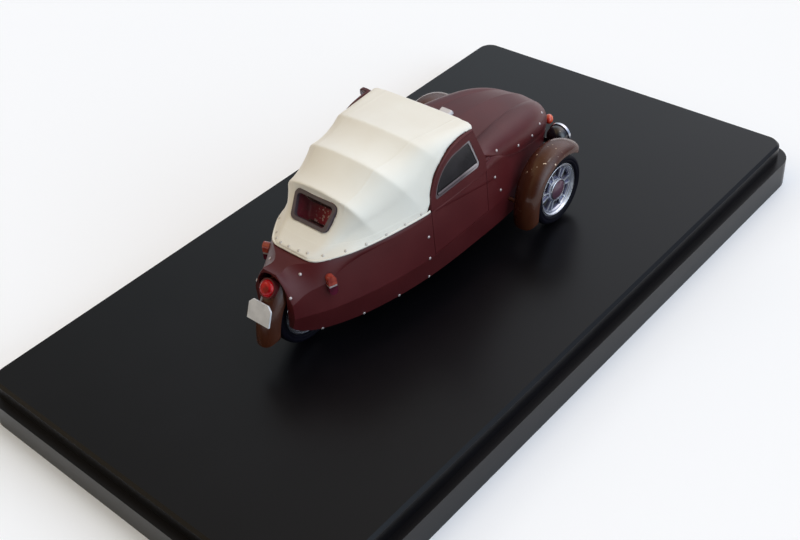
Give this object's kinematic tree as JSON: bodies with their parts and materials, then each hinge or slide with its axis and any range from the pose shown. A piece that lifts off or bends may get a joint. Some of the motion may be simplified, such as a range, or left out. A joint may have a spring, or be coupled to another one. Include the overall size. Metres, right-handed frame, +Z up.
{
  "type": "three wheeled car model on display plinth",
  "caption": "Small scale model of a three wheeled family car with a fabric roof, two wheels in front and one behind, standing on a black display plinth.",
  "frame": {"origin": "centre of the plinth's underside", "axes": "+Z up, the car's nose towards -Y, its right side towards -X"},
  "size_m": [0.0752, 0.136, 0.0381],
  "materials": {
    "amber_lens": "clear amber",
    "black": "matt black",
    "body": "maroon, semi matt",
    "chrome": "bright",
    "clear_lens": "clear",
    "fender": "brown, glossy",
    "frame": "grey, satin",
    "glass": "clear",
    "plate": "white, blank",
    "plinth": "satin black",
    "red_lens": "clear red",
    "roof": "cream, smooth",
    "screw": "plain",
    "seat": "red",
    "tyre": "matt"
  },
  "bodies": {
    "car_and_plinth": {"body_shell": "body", "chassis": "black", "dashboard": "body", "door_glass_left": "glass", "door_glass_right": "glass", "door_left": "body", "door_right": "body", "fender_left": "fender", "fender_rear": "fender", "fender_right": "fender", "front_axle": "black", "headlamp_left": "black", "headlamp_lens_left": "clear_lens", "headlamp_lens_right": "clear_lens", "headlamp_right": "black", "headlamp_rim_left": "chrome", "headlamp_rim_right": "chrome", "hood": "body", "indicator_left": "amber_lens", "indicator_right": "amber_lens", "mirror": "body", "plate_rear": "plate", "plinth": "plinth", "rear_window_frame": "frame", "rear_window_glass": "glass", "roof": "roof", "screw_front": "screw", "screw_rear": "screw", "seat": "seat", "side_lamp_amber_left": "amber_lens", "side_lamp_amber_right": "amber_lens", "side_lamp_band_left": "chrome", "side_lamp_band_right": "chrome", "side_lamp_red_left": "red_lens", "side_lamp_red_right": "red_lens", "steering_wheel": "black", "swing_arm": "black", "tail_lamp": "red_lens", "tail_lamp_base": "body", "window_bead_left": "frame", "window_bead_right": "frame", "windscreen_frame": "frame", "windscreen_glass": "glass", "wiper": "chrome"},
    "front_left_wheel": {"front_left_hub_cap": "body", "front_left_rim": "chrome", "front_left_tyre": "tyre"},
    "front_right_wheel": {"front_right_hub_cap": "body", "front_right_rim": "chrome", "front_right_tyre": "tyre"},
    "rear_wheel": {"rear_rim": "chrome", "rear_tyre": "tyre"}
  },
  "joints": [
    {"name": "front_left_spin", "type": "hinge", "parent": "car_and_plinth", "child": "front_left_wheel", "pos_m": [0.0143, -0.0209, 0.0152], "axis": [1, 0, 0], "continuous": true},
    {"name": "front_right_spin", "type": "hinge", "parent": "car_and_plinth", "child": "front_right_wheel", "pos_m": [-0.0143, -0.0209, 0.0152], "axis": [1, 0, 0], "continuous": true},
    {"name": "rear_spin", "type": "hinge", "parent": "car_and_plinth", "child": "rear_wheel", "pos_m": [0, 0.0276, 0.0152], "axis": [1, 0, 0], "continuous": true}
  ]
}
